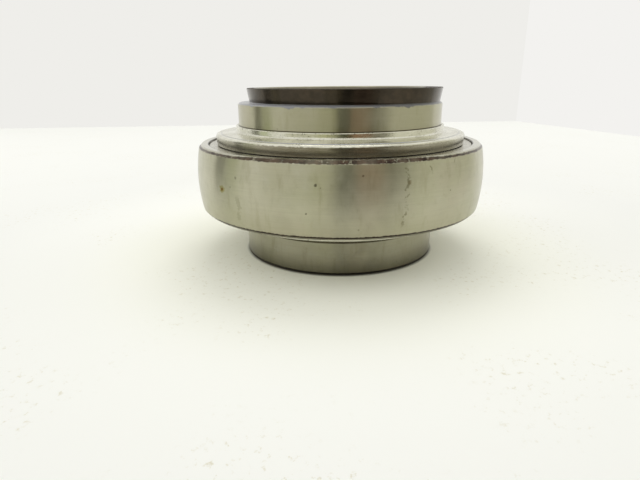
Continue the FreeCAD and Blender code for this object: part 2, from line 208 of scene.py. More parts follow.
def turning_tree():
    """Turns a section about the shaft axis. Points marked eccentric turn about the cam's axis."""
    tree, start, end = new_tree("turned_ring", (
        ("Segments", "Int"), ("Core", "Float"), ("Eccentricity", "Float"), ("Material", "Material"),
    ))
    wire = add_node(tree, "GeometryNodeMeshToCurve", [("Mesh", start.outputs["Geometry"])])
    inward = add_node(tree, "ShaderNodeMath", [
        (0, start.outputs["Core"]), (1, -1.0),
    ], operation="MULTIPLY")
    shift = add_node(tree, "ShaderNodeCombineXYZ", [("X", inward.outputs[0])])
    profile = add_node(tree, "GeometryNodeTransform", [
        ("Geometry", wire.outputs["Curve"]),
        ("Translation", shift.outputs["Vector"]),
        ("Rotation", (math.pi / 2, 0.0, 0.0)),
    ])
    circle = add_node(tree, "GeometryNodeCurvePrimitiveCircle", [
        ("Resolution", start.outputs["Segments"]), ("Radius", start.outputs["Core"]),
    ], mode="RADIUS")
    upright = add_node(tree, "GeometryNodeSetCurveNormal", [
        ("Curve", circle.outputs["Curve"]),
    ], mode="Z_UP")
    turned = add_node(tree, "GeometryNodeCurveToMesh", [
        ("Curve", upright.outputs["Curve"]), ("Profile Curve", profile.outputs["Geometry"]),
    ])
    mark = add_node(tree, "GeometryNodeInputNamedAttribute", [("Name", "eccentric")], data_type="FLOAT")
    throw = add_node(tree, "ShaderNodeMath", [
        (0, mark.outputs["Attribute"]), (1, start.outputs["Eccentricity"]),
    ], operation="MULTIPLY")
    offset = add_node(tree, "ShaderNodeCombineXYZ", [("X", throw.outputs[0])])
    placed = add_node(tree, "GeometryNodeSetPosition", [
        ("Geometry", turned.outputs["Mesh"]), ("Offset", offset.outputs["Vector"]),
    ])
    outward = add_node(tree, "GeometryNodeFlipFaces", [("Mesh", placed.outputs["Geometry"])])
    return close_tree(tree, outward.outputs["Mesh"], start, end)


def circle_tree():
    """Sets copies of a piece round the ball circle: one by its number, or all when it is below 0."""
    tree, start, end = new_tree("pieces_on_ball_circle", (
        ("Count", "Int"), ("Circle Radius", "Float"), ("Height", "Float"), ("First Angle", "Float"),
        ("Only", "Int"), ("Material", "Material"),
    ))
    circle = add_node(tree, "GeometryNodeCurvePrimitiveCircle", [
        ("Resolution", start.outputs["Count"]), ("Radius", start.outputs["Circle Radius"]),
    ], mode="RADIUS")
    turn = add_node(tree, "ShaderNodeCombineXYZ", [("Z", start.outputs["First Angle"])])
    lift = add_node(tree, "ShaderNodeCombineXYZ", [("Z", start.outputs["Height"])])
    placed = add_node(tree, "GeometryNodeTransform", [
        ("Geometry", circle.outputs["Curve"]),
        ("Translation", lift.outputs["Vector"]),
        ("Rotation", turn.outputs["Vector"]),
    ])
    index = add_node(tree, "GeometryNodeInputIndex")
    this = add_node(tree, "FunctionNodeCompare", [
        (2, index.outputs["Index"]), (3, start.outputs["Only"]),
    ], data_type="INT", operation="EQUAL")
    every = add_node(tree, "FunctionNodeCompare", [
        (2, start.outputs["Only"]), (3, 0),
    ], data_type="INT", operation="LESS_THAN")
    chosen = add_node(tree, "FunctionNodeBooleanMath", [
        (0, this.outputs["Result"]), (1, every.outputs["Result"]),
    ], operation="OR")
    copies = add_node(tree, "GeometryNodeInstanceOnPoints", [
        ("Points", placed.outputs["Geometry"]),
        ("Selection", chosen.outputs[0]),
        ("Instance", start.outputs["Geometry"]),
    ])
    return close_tree(tree, copies.outputs["Instances"], start, end)


def made_by(tree, name, mesh, values, weigh=False):
    """Runs a tree on a mesh and gives the result as a plain object with closed, outward faces."""
    source = bpy.data.objects.new(name + "_source", mesh)
    bpy.context.scene.collection.objects.link(source)
    modifier = source.modifiers.new("nodes", "NODES")
    modifier.node_group = tree
    identifiers = {
        item.name: item.identifier for item in tree.interface.items_tree if item.in_out == "INPUT"
    }
    for label, value in values.items():
        modifier[identifiers[label]] = value
    if weigh:
        source.modifiers.new("even_normals", "WEIGHTED_NORMAL")
    graph = bpy.context.evaluated_depsgraph_get()
    made = bpy.data.meshes.new_from_object(source.evaluated_get(graph))
    bpy.data.objects.remove(source)
    made.name = name
    piece = bpy.data.objects.new(name, made)
    bpy.context.scene.collection.objects.link(piece)
    return piece


# Sections of the turned pieces, heights from the mid-plane of the balls

def outer_ring_section():
    """Spherical outside, chamfers, a recess for each cap and the ball groove."""
    chamfer_height = OUTER_FACE - OUTER_CHAMFER
    edge_angle = math.degrees(math.asin(chamfer_height / SPHERE))
    edge_radius = math.sqrt(SPHERE ** 2 - chamfer_height ** 2)
    groove_centre = OUTER_FLOOR - GROOVE
    groove_angle = math.degrees(math.acos((SHOULDER - groove_centre) / GROOVE))
    sphere = arc(0.0, 0.0, SPHERE, -edge_angle + EDGE_CLEAR, edge_angle - EDGE_CLEAR, SPHERE_STEP)
    groove = arc(groove_centre, 0.0, GROOVE, groove_angle, -groove_angle, GROOVE_STEP)
    return [
        corner(SHOULDER, -CAP_SEAT),
        corner(CAP_SEAT_RADIUS, -CAP_SEAT),
        corner(CAP_SEAT_RADIUS, -OUTER_FACE),
        corner(edge_radius - OUTER_CHAMFER, -OUTER_FACE),
        corner(edge_radius, -chamfer_height),
        *sphere,
        corner(edge_radius, chamfer_height),
        corner(edge_radius - OUTER_CHAMFER, OUTER_FACE),
        corner(CAP_SEAT_RADIUS, OUTER_FACE),
        corner(CAP_SEAT_RADIUS, CAP_SEAT),
        corner(SHOULDER, CAP_SEAT),
        *groove,
    ]


def inner_ring_section():
    """Shaft bore, plain end, ball groove, land and the eccentric cam with its undercut side."""
    groove_centre = INNER_FLOOR + GROOVE
    low_angle = 180 + math.degrees(math.acos((groove_centre - PLAIN_RADIUS) / GROOVE))
    high_angle = 180 - math.degrees(math.acos((groove_centre - LAND_RADIUS) / GROOVE))
    return [
        corner(BORE, -MID_HEIGHT + BORE_CHAMFER),
        corner(BORE + BORE_CHAMFER, -MID_HEIGHT),
        corner(PLAIN_RADIUS - PLAIN_BREAK, -MID_HEIGHT),
        corner(PLAIN_RADIUS, -MID_HEIGHT + PLAIN_BREAK),
        *arc(groove_centre, 0.0, GROOVE, low_angle, high_angle, GROOVE_STEP),
        corner(LAND_RADIUS, LAND_HEIGHT - LAND_CHAMFER),
        corner(LAND_RADIUS - LAND_CHAMFER, LAND_HEIGHT),
        corner(CAM_ROOT, LAND_HEIGHT, FINE_EDGE, cam=1.0),
        corner(CAM_ROOT, LAND_HEIGHT + CAM_RELIEF, FINE_EDGE, cam=1.0),
        corner(CAM_RADIUS, CAM_TOP - CAM_BREAK, FINE_EDGE, cam=1.0),
        corner(CAM_RADIUS - CAM_BREAK, CAM_TOP, FINE_EDGE, cam=1.0),
        corner(BORE + BORE_CHAMFER, CAM_TOP),
        corner(BORE, CAM_TOP - BORE_CHAMFER),
    ]


def flinger_section(seat, rim, rise):
    """Hub, flared web, step down to the rolled rim, and the skirt that draws in."""
    hub = seat + SHEET
    web = rim + CROWN
    step = rim + STEP
    rim_inside = RIM_RADIUS - RIM_WIDTH
    under_flare = arc(hub + FLARE, web + FLARE, FLARE + SHEET, 180, 270, BEND_STEP / 2)
    rolled = arc(RIM_RADIUS - RIM_BEND, rim - RIM_BEND, RIM_BEND, 0, 90, BEND_STEP / 2)
    flare = arc(hub + FLARE, web + FLARE, FLARE, 270, 180, BEND_STEP / 2)
    return [
        corner(seat, rim + rise, HUB_EDGE),
        *under_flare,
        corner(rim_inside, step - SHEET, SHARP),
        corner(RIM_RADIUS - SHEET, rim - SHEET, RIM_CREASE),
        corner(RIM_RADIUS - SKIRT_TAPER - SHEET, SKIRT_EDGE, FINE_EDGE),
        corner(RIM_RADIUS - SKIRT_TAPER, SKIRT_EDGE),
        *rolled,
        corner(rim_inside + STEP, rim, FINE_EDGE),
        corner(rim_inside, step, FINE_EDGE),
        *flare,
        corner(hub, rim + rise, HUB_EDGE),
    ]


def cap_section(seat):
    """Flange down to the recess floor, bend, and the face with its hole."""
    hole = seat + CAP_HOLE_GAP
    flange = CAP_SEAT_RADIUS - CAP_SHEET
    return [
        corner(flange, CAP_SEAT, FINE_EDGE),
        corner(CAP_SEAT_RADIUS, CAP_SEAT, FINE_EDGE),
        corner(CAP_SEAT_RADIUS, CAP_FACE, CAP_BEND),
        corner(hole, CAP_FACE, FINE_EDGE),
        corner(hole, CAP_UNDER, FINE_EDGE),
        corner(flange, CAP_UNDER, FINE_EDGE),
    ]


def lip_section(seat):
    """Rubber wrapped round the cap's hole, with two lips that run on the inner ring."""
    hole = seat + CAP_HOLE_GAP
    root = hole - LIP_RUBBER
    run = seat + LIP_GAP
    middle = CAP_UNDER + CAP_SHEET / 2
    return [
        corner(hole, CAP_FACE, SHARP),
        corner(root, CAP_FACE),
        corner(run + LIP_EDGE, middle + LIP_SPREAD, FINE_EDGE),
        corner(run, middle + LIP_SPREAD - LIP_EDGE, FINE_EDGE),
        corner(root - LIP_RUBBER, middle),
        corner(run, middle - LIP_SPREAD + LIP_EDGE, FINE_EDGE),
        corner(run + LIP_EDGE, middle - LIP_SPREAD, FINE_EDGE),
        corner(root, CAP_UNDER - LIP_RUBBER),
        corner(hole + LIP_WRAP, CAP_UNDER - LIP_RUBBER),
        corner(hole + LIP_WRAP, CAP_UNDER, SHARP),
        corner(hole, CAP_UNDER, SHARP),
    ]


def rivet_mesh():
    """One rivet upright at the origin: a shank and a domed head on each half of the cage."""
    dome = (RIVET_HEAD ** 2 + RIVET_RISE ** 2) / (2 * RIVET_RISE)
    brim_angle = math.asin(RIVET_HEAD / dome)
    dome_centre = CAGE_SHEET + RIVET_RISE - dome
    angles = [brim_angle * index / RIVET_DOME_STEPS for index in range(1, RIVET_DOME_STEPS + 1)]
    head = [(dome * math.sin(a), dome_centre + dome * math.cos(a)) for a in angles]
    upper = head + [(RIVET_RADIUS, CAGE_SHEET)]
    lower = [(radius, -height) for radius, height in reversed(upper)]
    rings = upper + lower
    shape = bmesh.new()
    tip = Vector((0.0, 0.0, CAGE_SHEET + RIVET_RISE)) * MM
    top = shape.verts.new(tip)
    bottom = shape.verts.new(-tip)
    turns = [math.tau * index / RIVET_SEGMENTS for index in range(RIVET_SEGMENTS)]
    loops = []
    for radius, height in rings:
        places = [Vector((radius * math.cos(a), radius * math.sin(a), height)) for a in turns]
        loops.append([shape.verts.new(place * MM) for place in places])
    for index in range(RIVET_SEGMENTS):
        after = (index + 1) % RIVET_SEGMENTS
        shape.faces.new((top, loops[0][index], loops[0][after]))
        shape.faces.new((bottom, loops[-1][after], loops[-1][index]))
        for upper_loop, lower_loop in zip(loops, loops[1:]):
            shape.faces.new((upper_loop[index], lower_loop[index], lower_loop[after], upper_loop[after]))
    bmesh.ops.recalc_face_normals(shape, faces=shape.faces)
    mesh = bpy.data.meshes.new("rivet")
    shape.to_mesh(mesh)
    shape.free()
    return mesh


def ball_mesh():
    """One ball at the origin."""
    shape = bmesh.new()
    bmesh.ops.create_icosphere(shape, subdivisions=BALL_LEVEL, radius=BALL_RADIUS * MM)
    mesh = bpy.data.meshes.new("ball")
    shape.to_mesh(mesh)
    shape.free()
    return mesh


# Colours

def tone(red, green, blue):
    """A colour as it looks on a screen, 0 to 255, turned to the shader's values."""
    shares = [value / 255 for value in (red, green, blue)]
    return [share / 12.92 if share <= 0.04045 else ((share + 0.055) / 1.055) ** 2.4 for share in shares]


STEEL = (0.52, 0.503, 0.38)
STEEL_OLIVE = (0.46, 0.46, 0.31)
STEEL_PALE = (0.59, 0.58, 0.48)
STEEL_WARM = (0.49, 0.455, 0.345)
SHEET_STEEL = (0.80, 0.79, 0.68)
FACE_PALE = (0.56, 0.55, 0.47)
SMEAR = (0.38, 0.36, 0.24)
STAIN_BROWN = tone(90, 74, 62)
# Dark stain; also the colour of the painted shadow lines at the cap's recess and the cam side's flinger
# hub
STAIN_AND_SHADOW_DARK = tone(52, 42, 37)
STAIN_BLUE_PALE = tone(142, 144, 154)
STAIN_BLUE_DARK = tone(76, 77, 86)
SCALE_DARK = tone(62, 57, 49)
SCALE_BROWN = tone(84, 74, 62)
# Painted dark reflection on the flinger's skirt
SKIRT_PAINTED_REFLECTION = tone(126, 117, 95)
# Painted shade in the crease of the flinger's step
CREASE_SHADE_BLUE = tone(138, 142, 158)
# Dark specks and grit; also the darkening low on the sleeve and its painted shadow lines
SPECK_AND_SHADE_DARK = tone(58, 50, 38)
RUST = tone(120, 84, 30)
RUST_HALO = tone(158, 150, 84)
RUN_OLIVE = tone(104, 98, 66)

# Noise in space: scale, detail, roughness and seed
BLOTCH = (70.0, 3.0, 0.55, 1.0)
PATCH = (240.0, 4.0, 0.6, 5.0)
WARMTH = (48.0, 3.0, 0.6, 17.0)
MOTTLE = (420.0, 5.0, 0.7, 31.0)
PIT_WOBBLE = (900.0, 3.0, 0.6, 21.0)
SHEET_CLOUD = (160.0, 3.0, 0.6, 2.0)
SHEET_DIRT = (60.0, 2.0, 0.5, 5.0)
SHEET_GRAINS = (2400.0, 3.0, 0.6, 23.0)
PLAIN_CLOUD = (220.0, 4.0, 0.6, 0.0)
PLAIN_GRAIN = (5000.0, 2.0, 0.6, 1.0)
BENCH_CLOUD = (14.0, 3.0, 0.6, 0.0)
BENCH_WEAR = (22.0, 3.0, 0.6, 6.0)
BENCH_FLECKS = (620.0, 3.0, 0.7, 2.0)

# Noise round the axis: how fast it varies along and across, detail, roughness and seed
STAIN_RAGGED = (55.0, 1500.0, 4.0, 0.7, 7.0)
STAIN_WANDER = (20.0, 2600.0, 5.0, 0.65, 8.0)
STAIN_SWIRL = (24.0, 3400.0, 5.0, 0.7, 4.0)
STAIN_THIN = (5.0, 300.0, 3.0, 0.6, 14.0)
SCALE_CLOUD = (12.0, 420.0, 4.0, 0.6, 9.0)
BLUE_RAGGED = (9.0, 120.0, 4.0, 0.65, 2.0)
GROUND_FINE = (6.0, 9000.0, 2.0, 0.7, 0.0)
GROUND_WIDE = (2.0, 1600.0, 3.0, 0.6, 3.0)
DRIPS = (16.0, 90.0, 4.0, 0.62, 11.0)
DRAW_LINES = (3.0, 3500.0, 3.0, 0.65, 0.0)
SKIRT_RAGGED = (50.0, 600.0, 3.0, 0.65, 3.0)
# Streaks in the painted reflection on the flinger's skirt
SKIRT_REFLECTION_STREAKS = (7.0, 2400.0, 4.0, 0.65, 13.0)
# The same for the runs of stain, which take their azimuth as seed
RUN_SWAY = (0.0, 260.0, 3.0, 0.6)
RUN_BREAKS = (30.0, 700.0, 3.0, 0.6)

# Specks: cells in a metre, size and share of the cells, then how sharp they are
STEEL_SPECKS = (420.0, 0.14, 0.07)
RUST_SPECKS = (260.0, 0.1, 0.02)
SHEET_SPECKS = (500.0, 0.14, 0.04)
SPECK_CORE = 0.5
SPECK_SOFT = 0.01

# The middle range of noise, and how much of the radius counts as height for streaks on flat faces
NOISE_SPAN = (0.3, 0.7)
FACE_SHARE = 0.83

# Ramps of noise: from and to, with the values before and after where they aren't 0 and 1
STAIN_SHADES = (0.4, 0.6)
STAIN_THINNING = (0.35, 0.6, 0.8, 1.0)
RUN_PIECES = (0.42, 0.56)
SCALE_SHADES = (0.35, 0.75, 0.15, 0.75)
BLUE_SPAN = (0.5, 0.8)
FINE_SHADES = (*NOISE_SPAN, 0.96, 1.02)
WIDE_SHADES = (*NOISE_SPAN, -0.02, 0.02)
SHEET_SHADES = (0.35, 0.7, 0.0, 0.7)
SHEET_ROUGHNESS = (0.3, 0.75, 0.2, 0.3)
DIRT_SHADES = (0.46, 0.6)
GRAIN_SHADES = (0.58, 0.66)
SKIRT_REFLECTION_SHADES = (0.3, 0.62, 1.03, 0.85)
PLAIN_SHADES = (0.35, 0.7)
PLAIN_SPAN = (0.3, 0.75)
PATCH_SPAN = (0.3, 0.8)
WEAR_SHADES = (0.48, 0.62)
FLECK_SHADES = (0.56, 0.7, 0.0, 0.55)
BENCH_ROUGHNESS = (*NOISE_SPAN, 0.38, 0.5)
# Shares of a plain finish's roughness, and steps down and up from that of ground steel
PLAIN_ROUGHER = (0.85, 1.2)
SMOOTHER_BY = 0.04
ROUGHER_BY = 0.08
# Specular level as a ramp over the cam's top face
LID_GLOSS = (0.0, 1.0, 0.5, 0.1)
# A band of noise that leaves bare lines in the stain: from, to and softness
BARE_LINES = (0.36, 0.41, 0.015)

# How much of one colour or quality a layer brings, from 0 to 1
BARE_SHARE = 0.6
UNDERSIDE_DARKER = 0.85
FACE_PALER = 0.7
FACE_SMOOTHER = 0.16
LAND_DULLER = 0.42
MOUTH_DARKER = 0.8
DULL_SHARE = 0.9
LID_ROUGHER = 0.45
SCALE_SMOOTHER = 0.12
STEEL_SPECK_SHARE = 0.5
SHEET_SPECK_SHARE = 0.7
GRIT_SHARE = 0.8
SKIRT_REFLECTION_DULLER = 0.2
WIDE_SHARE = 0.5

# Directions from the axis, and ramps over them: -1 is straight at the front or the left
BACKWARDS = (0.0, 1.0, 0.0)
RIGHTWARDS = (1.0, 0.0, 0.0)
STAIN_FRONT = (-0.97, -0.75)
CREASE_FRONT = (-0.98, -0.75, 0.65, 0.3)
SKIRT_REFLECTION_FRONT = (-0.97, -0.7, 0.95, 0.6)
BLUE_SIDES = (-1.1, 0.6)

# Zones in millimetres: a ramp's from and to, with its values there where they aren't 0 and 1,
# or a band's from and to and its softness.
# Heights above the floor
UNDERSIDE = (MID_HEIGHT - 1.0, MID_HEIGHT, 1.0, 0.0)
UPPER_SIDE = (MID_HEIGHT, MID_HEIGHT + 1.0)
LOWER_EDGE_GLINT = (14.8, 15.0, 0.05)
RING_SMEAR = (16.0, 24.0, 0.4, 0.0)
LAND_SMEAR = (36.0, 46.2, 0.3)
# Heights from the ring's middle, on both sides
STAIN_HEIGHT = (9.05, 9.2)
SKIRT_HEIGHT = (12.2, 12.5, 1.0, 0.0)
# Heights above the land's upper face
SCALE_HEIGHT = (0.1, 0.3)
BLUE_HEIGHT = (-0.5, -0.15, 0.0, 0.85)
MOUTH_HEIGHT = (3.1, 3.3)
LID_HEIGHT = (3.95, 4.12)
# Radii
STAIN_RADIUS = (42.95, 43.2)
STAIN_RADIUS_BELOW = (42.6, 42.8)
# Painted shadow line on the face at the edge of the cap's recess
SEAM_SHADOW_RADIUS = (41.35, 41.6, 0.8, 0.0)
OUTSIDE_RADIUS = (26.3, 26.8)
MOUTH_RADIUS = (24.8, 25.8, 0.12)
SKIRT_RADIUS = (38.0, 38.3)
FLARE_RADIUS = (33.6, 34.2, 1.0, 0.0)
CREASE_RADIUS = (36.8, 37.3, 0.12)
# How far noise moves an edge, down and up, and how much lower and narrower the stain goes
STAIN_STEPS = (-0.16, 0.1)
STAIN_NOTCHES = (-0.08, 0.12)
STAIN_MORE_BELOW = 0.15
STAIN_NARROWER = 0.4
BLUE_TONGUES = (0.0, 0.9)
SKIRT_STEPS = (-0.12, 0.12)

# Darkening low on the inner ring: from and to in mm above the floor, strength at the low end. The first
# and last rows make the sleeve darker towards the bottom; the middle row is a painted contact shadow at
# its foot.
SLEEVE_LOW_DARKENING = (
    (0.0, 6.8, 0.5),
    (0.35, 0.6, 0.95),
    (9.9, 10.4, 0.3),
)
# Painted shadow lines round the inner ring where the flingers' hubs meet it: from and to in mm, strength,
# colour
SEAM_SOFT = 0.08
SLEEVE_SEAM_SHADOWS = (
    (39.7, 40.0, 0.8, STAIN_AND_SHADOW_DARK),
    (9.35, 10.42, 0.85, SPECK_AND_SHADE_DARK),
)
# Shares of a pit's size: how far its edge wanders, and its core of full strength
PIT_RAGGED = 0.4
PIT_CORE = 0.5
# Pits: place in mm, size in mm, colour, strength
RING_PITS = (
    ((-31.2, -32.4, 25.3), 1.3, RUST_HALO, 0.8),
    ((-31.2, -32.4, 25.3), 0.55, RUST, 1.0),
    ((-5.5, -44.5, 28.7), 0.5, SPECK_AND_SHADE_DARK, 0.75),
    ((-4.4, -44.5, 28.2), 0.3, SPECK_AND_SHADE_DARK, 0.6),
    ((-8.0, -44.2, 21.7), 0.35, SPECK_AND_SHADE_DARK, 0.6),
    ((5.7, -44.2, 31.0), 0.4, SPECK_AND_SHADE_DARK, 0.5),
    ((17.3, -41.3, 29.0), 0.6, RUST, 0.3),
    ((-26.7, -35.9, 29.0), 0.4, SPECK_AND_SHADE_DARK, 0.4),
)
# Softness of a run's sides and ends and how far it sways, in mm, and how far ahead it has to face
RUN_SOFT_SIDE = 0.2
RUN_SOFT_END = 1.0
RUN_SWING = 0.9
RUN_AHEAD = 0.9
# Runs of stain: azimuth in degrees from the front, low and high end and width in mm, strength
RING_RUNS = (
    (21.6, 18.0, 33.0, 0.8, 0.55),
    (30.8, 31.0, 33.2, 0.35, 0.6),
    (42.3, 31.5, 33.4, 0.4, 0.5),
    (-36.0, 17.5, 24.0, 1.6, 0.25),
)

# Depth of the fine relief in millimetres
GRINDING_DEPTH = 0.002
DRAWING_DEPTH = 0.004


# Finishes

class Finish:
    """A material on one Principled shader, with short calls for the nodes that feed it."""

    def __init__(self, name, colour, metallic, roughness, **constants):
        self.material = bpy.data.materials.new(name)
        self.material.use_nodes = True
        self.tree = self.material.node_tree
        self.shader = self.tree.nodes["Principled BSDF"]
        self.shader.inputs["Base Color"].default_value = (*colour, 1.0)
        self.shader.inputs["Metallic"].default_value = metallic
        self.shader.inputs["Roughness"].default_value = roughness
        for key, value in constants.items():
            self.shader.inputs[key.replace("_", " ")].default_value = value
        self.place = self.add("ShaderNodeTexCoord").outputs["Object"]
        axes = self.add("ShaderNodeSeparateXYZ", [(0, self.place)])
        across, ahead, self.z = axes.outputs
        flat = self.add("ShaderNodeCombineXYZ", [("X", across), ("Y", ahead)]).outputs[0]
        self.around = self.vector_maths("NORMALIZE", flat).outputs["Vector"]
        self.radius = self.vector_maths("LENGTH", flat).outputs["Value"]

    def add(self, kind, values=(), **settings):
        """A node in this material."""
        return add_node(self.tree, kind, values, **settings)

    def feed(self, socket, value):
        """Link a node's output to one of the shader's sockets."""
        self.tree.links.new(value, self.shader.inputs[socket])

    def maths(self, operation, first, second):
        """One sum on numbers or outputs."""
        return self.add("ShaderNodeMath", [(0, first), (1, second)], operation=operation).outputs[0]

    def vector_maths(self, operation, *vectors):
        """One sum on vectors or outputs, as a node."""
        return self.add("ShaderNodeVectorMath", list(enumerate(vectors)), operation=operation)

    def times(self, product, *others):
        """The product of numbers and outputs."""
        for value in others:
            product = self.maths("MULTIPLY", product, value)
        return product

    def rest(self, value):
        """What value leaves of 1."""
        return self.maths("SUBTRACT", 1.0, value)

    def ramp(self, value, low, high, bottom=0.0, top=1.0):
        """Goes smoothly from bottom to top while value goes from low to high."""
        return self.add("ShaderNodeMapRange", [
            ("Value", value), ("From Min", low), ("From Max", high), ("To Min", bottom), ("To Max", top),
        ], interpolation_type="SMOOTHSTEP").outputs["Result"]

    def ramp_mm(self, value, low, high, bottom=0.0, top=1.0):
        """A ramp between two places in millimetres."""
        return self.ramp(value, low * MM, high * MM, bottom, top)

    def band(self, value, low, high, soft):
        """1 between low and high, falling to 0 over soft on each side."""
        up = self.ramp(value, low - soft, low + soft)
        down = self.ramp(value, high - soft, high + soft, 1.0, 0.0)
        return self.times(up, down)

    def band_mm(self, value, low, high, soft):
        """A band between two places in millimetres."""
        return self.band(value, low * MM, high * MM, soft * MM)

    def moved(self, value, noise, down, up, span=NOISE_SPAN):
        """A distance that noise moves by down to up, in millimetres."""
        return self.maths("ADD", value, self.ramp(noise, *span, down * MM, up * MM))

    def from_middle(self):
        """Height from the middle of the outer ring, upwards or downwards."""
        return self.maths("ABSOLUTE", self.maths("SUBTRACT", self.z, MID_HEIGHT * MM), 0.0)

    def distance(self, place):
        """How far the surface is from a place in millimetres."""
        return self.vector_maths("DISTANCE", self.place, Vector(place) * MM).outputs["Value"]

    def facing(self, direction):
        """How well the direction from the axis agrees with another, from -1 to 1."""
        return self.vector_maths("DOT_PRODUCT", self.around, direction).outputs["Value"]

    def noise(self, pattern, vector=None):
        """Smooth noise from about 0 to 1, in space unless a vector is given."""
        scale, detail, rough, seed = pattern
        node = self.add("ShaderNodeTexNoise", [
            ("Scale", scale), ("Detail", detail), ("Roughness", rough), ("W", seed),
            ("Vector", vector or self.place),
        ], noise_dimensions="4D")
        return node.outputs["Fac"]

    def streaks(self, pattern, height=None):
        """Noise that varies slowly round the axis (along) and fast across it (across)."""
        along, across, detail, rough, seed = pattern
        height = height or self.maths("ADD", self.z, self.times(self.radius, FACE_SHARE))
        spread = self.add("ShaderNodeVectorMath", [(0, self.around), ("Scale", along)], operation="SCALE")
        rise = self.add("ShaderNodeCombineXYZ", [("Z", self.times(height, across))])
        place = self.vector_maths("ADD", spread.outputs["Vector"], rise.outputs[0]).outputs["Vector"]
        return self.noise((1.0, detail, rough, seed), place)

    def mix(self, amount, first, second, blend="MIX"):
        """Two colours mixed, each a colour or an output."""
        node = self.add("ShaderNodeMix", data_type="RGBA", blend_type=blend)
        for socket, value in ((node.inputs[0], amount), (node.inputs[6], first), (node.inputs[7], second)):
            if isinstance(value, bpy.types.NodeSocket):
                self.tree.links.new(value, socket)
            else:
                socket.default_value = (*value, 1.0) if hasattr(value, "__len__") else value
        return node.outputs[2]

    def specks(self, scale, size, share):
        """Small round spots: 1 inside a spot, on a share of the cells."""
        cells = self.add("ShaderNodeTexVoronoi", [("Scale", scale), ("Vector", self.place)], feature="F1")
        chance = self.add("ShaderNodeSeparateColor", [(0, cells.outputs["Color"])]).outputs[0]
        chosen = self.ramp(chance, share, share + SPECK_SOFT, 1.0, 0.0)
        spot = self.ramp(cells.outputs["Distance"], size * SPECK_CORE, size, 1.0, 0.0)
        return self.times(chosen, spot)

    def bump(self, height, depth):
        """Raise the surface by height times depth, which is in millimetres."""
        node = self.add("ShaderNodeBump", [
            ("Height", height), ("Distance", depth * MM), ("Strength", 1.0),
        ])
        self.feed("Normal", node.outputs["Normal"])

    def grain_round_axis(self):
        """Reflections spread across the grinding lines, which run round the shaft axis."""
        tangent = self.add("ShaderNodeTangent", direction_type="RADIAL", axis="Z")
        self.feed("Tangent", tangent.outputs["Tangent"])


def burnt_chamfers(finish, colour, rough):
    """Brown heat stain with a ragged edge on the outer ring's chamfers, paler, smoother faces, and a
    painted shadow line on the face at the edge of the cap's recess.
    """
    ragged = finish.streaks(STAIN_RAGGED)
    underside = finish.ramp_mm(finish.z, *UNDERSIDE)
    height = finish.moved(finish.from_middle(), ragged, *STAIN_STEPS)
    height = finish.maths("ADD", height, finish.times(underside, STAIN_MORE_BELOW * MM))
    edge = finish.ramp_mm(height, *STAIN_HEIGHT)
    sides = finish.ramp(finish.facing(BACKWARDS), *STAIN_FRONT, 0.0, STAIN_NARROWER * MM)
    narrowed = finish.maths("SUBTRACT", finish.radius, finish.moved(sides, ragged, *STAIN_NOTCHES))
    outside_below = finish.times(underside, finish.ramp_mm(finish.radius, *STAIN_RADIUS_BELOW))
    outside = finish.maths("MAXIMUM", finish.ramp_mm(narrowed, *STAIN_RADIUS), outside_below)
    burnt = finish.mix(finish.ramp(finish.streaks(STAIN_WANDER), *STAIN_SHADES), STAIN_BROWN, STAIN_AND_SHADOW_DARK)
    burnt = finish.mix(finish.times(underside, UNDERSIDE_DARKER), burnt, STAIN_AND_SHADOW_DARK)
    bare = finish.band(finish.streaks(STAIN_SWIRL), *BARE_LINES)
    thin = finish.ramp(finish.streaks(STAIN_THIN), *STAIN_THINNING)
    left = finish.times(thin, finish.rest(finish.times(bare, BARE_SHARE)))
    cover = finish.times(edge, outside, finish.maths("MAXIMUM", left, underside))
    cover = finish.times(cover, finish.rest(finish.band_mm(finish.z, *LOWER_EDGE_GLINT)))
    clean = finish.times(edge, finish.rest(outside), finish.rest(underside))
    colour = finish.mix(finish.times(clean, FACE_PALER), colour, FACE_PALE)
    # Painted shadow: a dark line on the ring's face at the edge of the cap's recess
    seam_shadow = finish.times(finish.ramp_mm(finish.radius, *SEAM_SHADOW_RADIUS), clean)
    colour = finish.mix(seam_shadow, colour, STAIN_AND_SHADOW_DARK)
    colour = finish.mix(finish.ramp_mm(finish.z, *RING_SMEAR), colour, SMEAR)
    colour = handling_marks(finish, finish.mix(cover, colour, burnt))
    return colour, finish.maths("SUBTRACT", rough, finish.times(clean, FACE_SMOOTHER))


def handling_marks(finish, colour):
    """Rust pits and dark pits, and runs of stain down the side of the outer ring."""
    wobble = finish.noise(PIT_WOBBLE)
    for place, size, shade, strength in RING_PITS:
        far = finish.moved(finish.distance(place), wobble, -PIT_RAGGED * size, PIT_RAGGED * size)
        colour = finish.mix(finish.ramp_mm(far, PIT_CORE * size, size, strength, 0.0), colour, shade)
    for azimuth, low, high, width, strength in RING_RUNS:
        turn = math.radians(azimuth)
        across = finish.facing((math.cos(turn), math.sin(turn), 0.0))
        ahead = finish.facing((math.sin(turn), -math.cos(turn), 0.0))
        sway = finish.streaks((*RUN_SWAY, azimuth), finish.z)
        across = finish.moved(finish.times(across, SPHERE * MM), sway, -RUN_SWING, RUN_SWING)
        strip = finish.band_mm(across, -width / 2, width / 2, RUN_SOFT_SIDE)
        window = finish.band_mm(finish.z, low, high, RUN_SOFT_END)
        broken = finish.ramp(finish.streaks((*RUN_BREAKS, azimuth), finish.z), *RUN_PIECES)
        front = finish.maths("GREATER_THAN", ahead, RUN_AHEAD)
        run = finish.times(strip, window, broken, strength, front)
        colour = finish.mix(run, colour, RUN_OLIVE)
    return colour


